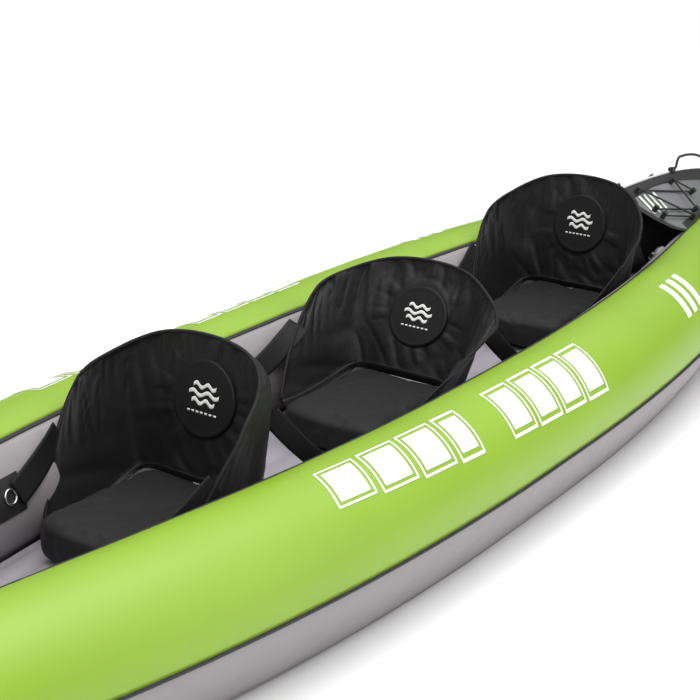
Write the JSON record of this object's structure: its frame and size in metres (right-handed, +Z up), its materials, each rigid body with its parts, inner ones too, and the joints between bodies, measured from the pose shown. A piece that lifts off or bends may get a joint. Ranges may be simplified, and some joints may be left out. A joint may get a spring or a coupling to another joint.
{
  "type": "inflatable kayak",
  "caption": "Inflatable kayak with round side tubes, high-backed folding seats, laced tent decks and carry handles at both ends.",
  "frame": {"origin": "on the ground below the middle of the hull", "axes": "+X to the bow, +Y to port, +Z up"},
  "size_m": [3.8, 0.9486, 0.4546],
  "materials": {
    "air_bladder": "clear grey film",
    "floor_pvc": "matte coated fabric",
    "green_fabric": "laminated polyester, satin",
    "grey_fabric": "laminated polyester, satin",
    "black_trim": "matte",
    "deck_fabric": "laminated polyester",
    "pale_piping": "satin",
    "cord": "woven",
    "black_plastic": "moulded",
    "grey_plastic": "moulded",
    "steel": "polished wire",
    "cushion_fabric": "woven nylon",
    "seat_fabric": "woven nylon",
    "seat_trim": "webbing",
    "emblem": "printed patch"
  },
  "bodies": {
    "root": {"bottom_cover": "grey_fabric", "bow_bungee_cord": "cord", "bow_deck": "deck_fabric", "bow_nose_cap": "black_trim", "bungee_eyelets": "black_plastic", "cockpit_binding": "black_trim", "deck_ridge_piping": "pale_piping", "drain_body": "black_plastic", "fin_base": "black_plastic", "floor_air_chamber": "floor_pvc", "front_seat_cushion": "cushion_fabric", "front_seat_front_straps": "seat_trim", "front_seat_rear_straps": "seat_trim", "front_seat_seam": "seat_trim", "handle_anchors": "black_plastic", "middle_seat_cushion": "cushion_fabric", "middle_seat_front_straps": "seat_trim", "middle_seat_rear_straps": "seat_trim", "middle_seat_seam": "seat_trim", "port_air_chamber": "air_bladder", "port_inner_cover": "grey_fabric", "port_lower_cover": "grey_fabric", "port_top_cover": "green_fabric", "rear_seat_cushion": "cushion_fabric", "rear_seat_front_straps": "seat_trim", "rear_seat_rear_straps": "seat_trim", "rear_seat_seam": "seat_trim", "seam_piping": "black_trim", "starboard_air_chamber": "air_bladder", "starboard_inner_cover": "grey_fabric", "starboard_lower_cover": "grey_fabric", "starboard_top_cover": "green_fabric", "stern_bungee_cord": "cord", "stern_deck": "deck_fabric", "stern_nose_cap": "black_trim", "strap_patches": "black_trim", "strap_rings": "steel", "valve_bodies": "black_plastic"},
    "front_backrest": {"front_seat_back": "seat_fabric", "front_seat_rim": "seat_trim", "front_seat_emblem": "emblem", "front_seat_wings": "seat_fabric"},
    "middle_backrest": {"middle_seat_back": "seat_fabric", "middle_seat_rim": "seat_trim", "middle_seat_emblem": "emblem", "middle_seat_wings": "seat_fabric"},
    "rear_backrest": {"rear_seat_back": "seat_fabric", "rear_seat_rim": "seat_trim", "rear_seat_emblem": "emblem", "rear_seat_wings": "seat_fabric"},
    "bow_handle": {"bow_carry_handle": "cord"},
    "stern_handle": {"stern_carry_handle": "cord"},
    "port_cap": {"port_valve_cap": "black_plastic"},
    "port_plunger": {"port_valve_plunger": "grey_plastic"},
    "starboard_cap": {"starboard_valve_cap": "black_plastic"},
    "starboard_plunger": {"starboard_valve_plunger": "grey_plastic"},
    "floor_cap": {"floor_valve_cap": "black_plastic"},
    "floor_plunger": {"floor_valve_plunger": "grey_plastic"},
    "drain_plug_body": {"drain_plug": "grey_plastic"}
  },
  "joints": [
    {"name": "front_seat_fold", "type": "hinge", "parent": "root", "child": "front_backrest", "pos_m": [0.526, 0, 0.1798], "axis": [0, 1, 0], "range_deg": [-20, 80], "deforming": ["front_seat_wings", "front_seat_front_straps", "front_seat_rear_straps"]},
    {"name": "middle_seat_fold", "type": "hinge", "parent": "root", "child": "middle_backrest", "pos_m": [-0.14505, 0, 0.1747], "axis": [0, 1, 0], "range_deg": [-15, 80], "deforming": ["middle_seat_wings", "middle_seat_front_straps", "middle_seat_rear_straps"]},
    {"name": "rear_seat_fold", "type": "hinge", "parent": "root", "child": "rear_backrest", "pos_m": [-0.90292, 0, 0.18835], "axis": [0, 1, 0], "range_deg": [-22, 80], "deforming": ["rear_seat_wings", "rear_seat_front_straps", "rear_seat_rear_straps"]},
    {"name": "bow_handle_swing", "type": "hinge", "parent": "root", "child": "bow_handle", "pos_m": [1.452, 0, 0.37567], "axis": [0.989, 0, -0.148], "range_deg": [-95, 95]},
    {"name": "stern_handle_swing", "type": "hinge", "parent": "root", "child": "stern_handle", "pos_m": [-1.452, 0, 0.37567], "axis": [-0.989, 0, -0.148], "range_deg": [-95, 95]},
    {"name": "port_cap_hinge", "type": "hinge", "parent": "root", "child": "port_cap", "pos_m": [-1.08, 0.1223, 0.2332], "axis": [0, 0.5, 0.866], "range_deg": [0, 135]},
    {"name": "port_valve_press", "type": "slide", "parent": "root", "child": "port_plunger", "axis": [0, 0.866, -0.5], "range_m": [0, 0.005], "stiffness_N_per_m": 400, "springref_m": -0.001},
    {"name": "starboard_cap_hinge", "type": "hinge", "parent": "root", "child": "starboard_cap", "pos_m": [-1.08, -0.1223, 0.2332], "axis": [0, 0.5, -0.866], "range_deg": [0, 135]},
    {"name": "starboard_valve_press", "type": "slide", "parent": "root", "child": "starboard_plunger", "axis": [0, -0.866, -0.5], "range_m": [0, 0.005], "stiffness_N_per_m": 400, "springref_m": -0.001},
    {"name": "floor_cap_hinge", "type": "hinge", "parent": "root", "child": "floor_cap", "pos_m": [-0.982, 0, 0.10846], "axis": [0, 1, 0], "range_deg": [0, 135]},
    {"name": "floor_valve_press", "type": "slide", "parent": "root", "child": "floor_plunger", "axis": [0, 0, -1], "range_m": [0, 0.005], "stiffness_N_per_m": 400, "springref_m": -0.001},
    {"name": "drain_plug_pull", "type": "slide", "parent": "root", "child": "drain_plug_body", "axis": [0.1182, 0, 0.993], "range_m": [0, 0.018]}
  ]
}
